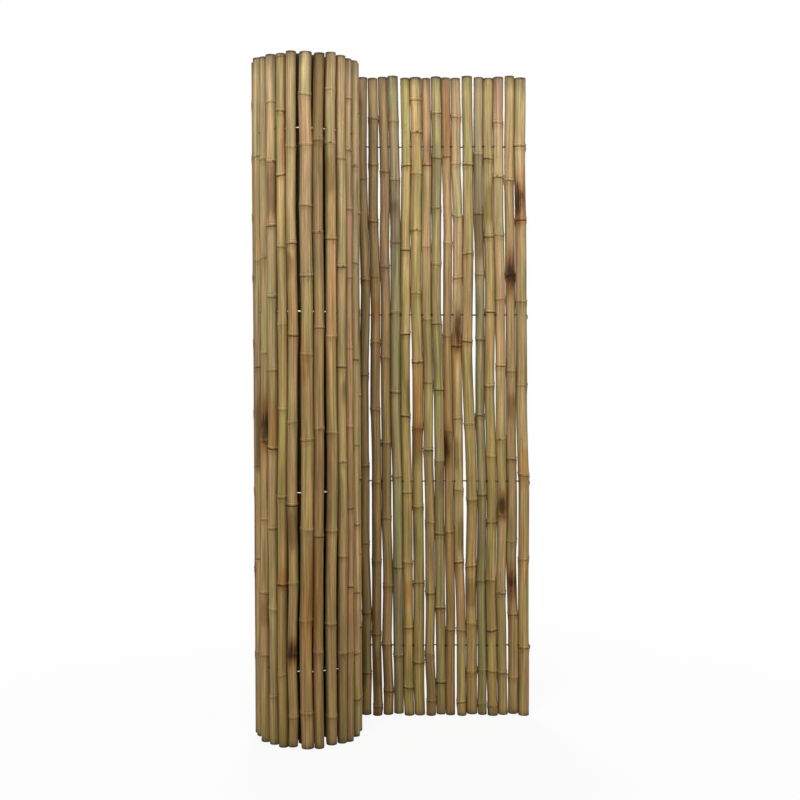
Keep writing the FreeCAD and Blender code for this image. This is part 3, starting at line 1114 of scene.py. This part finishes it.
def bamboo_skin():
    material, tree, shader = new_material("bamboo_skin")
    place = attribute(tree, "place", "Vector")
    colour, lines = weathered_colour(tree, place)
    colour, lip = knuckle_colour(tree, colour, place)
    colour = stained_colour(tree, bud_colour(tree, colour), place)
    feed(tree, shader.inputs["Base Color"], colour)
    dull = fibre(tree, place, 0.8, 0.12, 2.0)
    feed(tree, shader.inputs["Roughness"], math_step(tree, "MULTIPLY_ADD", dull, 0.22, 0.46))
    shader.inputs["Specular IOR Level"].default_value = 0.16
    add_grain(tree, shader, math_step(tree, "SUBTRACT", lines, lip), 0.35, 0.4 * MM)
    return material


SKIN = bamboo_skin()
print("bamboo skin nodes:", len(SKIN.node_tree.nodes))

# %% [markdown]
# ## Sawn bamboo
#
# On a sawn end the fibres are seen end on, as dark dots in pale straw-coloured wood, and the hollow
# is dusty and dark. The same fibre group gives the dots, because on a level cut its lengthwise
# stretch doesn't show.

# %% Sawn end material
STRAW, FIBRE_DOT, DUST = (0.42, 0.32, 0.18), (0.20, 0.13, 0.07), (0.15, 0.11, 0.07)


def sawn_end():
    material, tree, shader = new_material("sawn_bamboo")
    place = attribute(tree, "place", "Vector")
    dots = fibre(tree, place, 11.0, 0.4, 3.5)
    dirt = fibre(tree, place, 1.4, 0.3, 2.5)
    colour = mix(tree, math_step(tree, "MULTIPLY", dirt, 0.6), mix(tree, dots, STRAW, FIBRE_DOT), DUST)
    feed(tree, shader.inputs["Base Color"], colour)
    feed(tree, shader.inputs["Roughness"], math_step(tree, "MULTIPLY_ADD", dirt, 0.15, 0.75))
    add_grain(tree, shader, dots, 0.5, 0.5 * MM)
    return material


SAWN = sawn_end()
for piece in bamboo_pieces:
    piece.data.materials.append(SKIN)
    piece.data.materials.append(SAWN)
print("pieces with bamboo on them:", len(bamboo_pieces))

# %% [markdown]
# ## Galvanised wire
#
# Zinc on wire is a soft grey with paler and duller blotches, and it has a blurred shine. The colour
# is that of the metal itself, so the shader is metallic, and the blotches change how rough it is. In
# the flat run the wire is darker and duller than in the roll.

# %% Galvanised wire material
ROLL_EDGE = max(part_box(node)[1][0] for node in ROLL_CANES)
BRIGHT_ZINC = ((0.30, 0.30, 0.30), (0.60, 0.60, 0.59))           # darkest and palest blotches
DULL_ZINC = ((0.025, 0.024, 0.022), (0.085, 0.082, 0.078))
GRIME = (0.10, 0.09, 0.08)


def galvanised_wire():
    material, tree, shader = new_material("galvanised_wire")
    where = tree.nodes.new("ShaderNodeTexCoord").outputs["Object"]
    split = tree.nodes.new("ShaderNodeSeparateXYZ")
    feed(tree, split.inputs[0], where)
    blotch = fibre(tree, where, 160.0, 160.0, 2.4)
    fine = fibre(tree, where, 900.0, 900.0, 2.0)
    dulled = band(tree, split.outputs["X"], ROLL_EDGE, NO_LIMIT, 0.01)
    colour = mix(tree, dulled, mix(tree, blotch, *BRIGHT_ZINC), mix(tree, blotch, *DULL_ZINC))
    colour = mix(tree, math_step(tree, "MULTIPLY", fine, 0.3), colour, GRIME)
    feed(tree, shader.inputs["Base Color"], colour)
    shader.inputs["Metallic"].default_value = 1.0
    feed(tree, shader.inputs["Roughness"], math_step(tree, "MULTIPLY_ADD", blotch, 0.25, 0.32))
    return material


ZINC = galvanised_wire()
for piece in wire_pieces:
    piece.data.materials.append(ZINC)
print("pieces of zinc-coated wire:", len(wire_pieces))

# %% [markdown]
# ## Floor and light
#
# The mat stands on a plain pale floor in front of nothing but white. The floor is a large plane.
# Seen by the camera it is mostly plain white, and a share of it near the mat is an ordinary pale
# surface that takes the shadow. A large soft lamp above the camera gives most of the light, as in
# the photograph. A second one at the right fills in, a third lights the back for other views, and
# the white surroundings brighten the shadows a little.

# %% Floor
FLOOR_REACH = 30.0           # half of the floor's width
SHADOW_REACH = 1.3           # distance at which the floor turns plain white
WHITE_SHARE = 0.90           # of plain white in what is seen of the floor near the mat

floor_mesh = bpy.data.meshes.new("floor")
floor_corners = [(x * FLOOR_REACH, y * FLOOR_REACH, 0) for x, y in ((-1, -1), (1, -1), (1, 1), (-1, 1))]
floor_mesh.from_pydata(floor_corners, [], [(0, 1, 2, 3)])
floor = bpy.data.objects.new("floor", floor_mesh)
bpy.context.scene.collection.objects.link(floor)


def seen_directly(tree):
    """1 for what the camera sees itself or in a mirror or glass, and 0 for the light that surfaces get."""
    path = tree.nodes.new("ShaderNodeLightPath")
    mirrored = math_step(tree, "MAXIMUM", path.outputs["Is Glossy Ray"], path.outputs["Is Transmission Ray"])
    return math_step(tree, "MAXIMUM", path.outputs["Is Camera Ray"], mirrored)


def pale_floor():
    material, tree, shader = new_material("pale_floor")
    shader.inputs["Base Color"].default_value = (0.7, 0.7, 0.7, 1)
    shader.inputs["Roughness"].default_value = 0.9
    white = tree.nodes.new("ShaderNodeEmission")
    blend = tree.nodes.new("ShaderNodeMixShader")
    away = tree.nodes.new("ShaderNodeVectorMath")
    away.operation = "LENGTH"
    feed(tree, away.inputs[0], tree.nodes.new("ShaderNodeNewGeometry").outputs["Position"])
    far = band(tree, away.outputs["Value"], SHADOW_REACH, NO_LIMIT, 0.8)
    share = math_step(tree, "MULTIPLY_ADD", far, 1 - WHITE_SHARE, WHITE_SHARE)
    feed(tree, blend.inputs[0], math_step(tree, "MULTIPLY", seen_directly(tree), share))
    feed(tree, blend.inputs[1], shader.outputs[0])
    feed(tree, blend.inputs[2], white.outputs[0])
    feed(tree, tree.nodes["Material Output"].inputs["Surface"], blend.outputs[0])
    return material


floor_mesh.materials.append(pale_floor())
print("floor:", floor.name)

# %% Lamps and surroundings
AMBIENT = 0.09


def soft_lamp(name, place, target, size, power):
    lamp = bpy.data.objects.new(name, bpy.data.lights.new(name, "AREA"))
    lamp.data.size = size
    lamp.data.energy = power
    lamp.location = place
    lamp.visible_camera = False
    lamp.rotation_euler = (Vector(target) - lamp.location).to_track_quat("-Z", "Y").to_euler()
    bpy.context.scene.collection.objects.link(lamp)


def white_surroundings():
    world = bpy.data.worlds.new("white_surroundings")
    world.use_nodes = True
    tree = world.node_tree
    ambient = tree.nodes["Background"]
    backdrop = tree.nodes.new("ShaderNodeBackground")
    for background, strength in ((ambient, AMBIENT), (backdrop, 1.0)):
        background.inputs["Color"].default_value = (1, 1, 1, 1)
        background.inputs["Strength"].default_value = strength
    blend = tree.nodes.new("ShaderNodeMixShader")
    for socket, value in zip(blend.inputs, (seen_directly(tree), ambient.outputs[0], backdrop.outputs[0])):
        feed(tree, socket, value)
    feed(tree, tree.nodes["World Output"].inputs["Surface"], blend.outputs[0])
    return world


soft_lamp("key_lamp", (-0.55, -2.4, 3.1), (0, 0, 1.3), 2.2, 106.0)
soft_lamp("fill_lamp", (2.8, -2.4, 2.2), (0, 0, 1.0), 1.6, 53.0)
soft_lamp("back_lamp", (-0.4, 3.0, 2.4), (0, 0, 0.9), 1.8, 110.0)
bpy.context.scene.world = white_surroundings()
bpy.context.scene.view_settings.view_transform = "Standard"
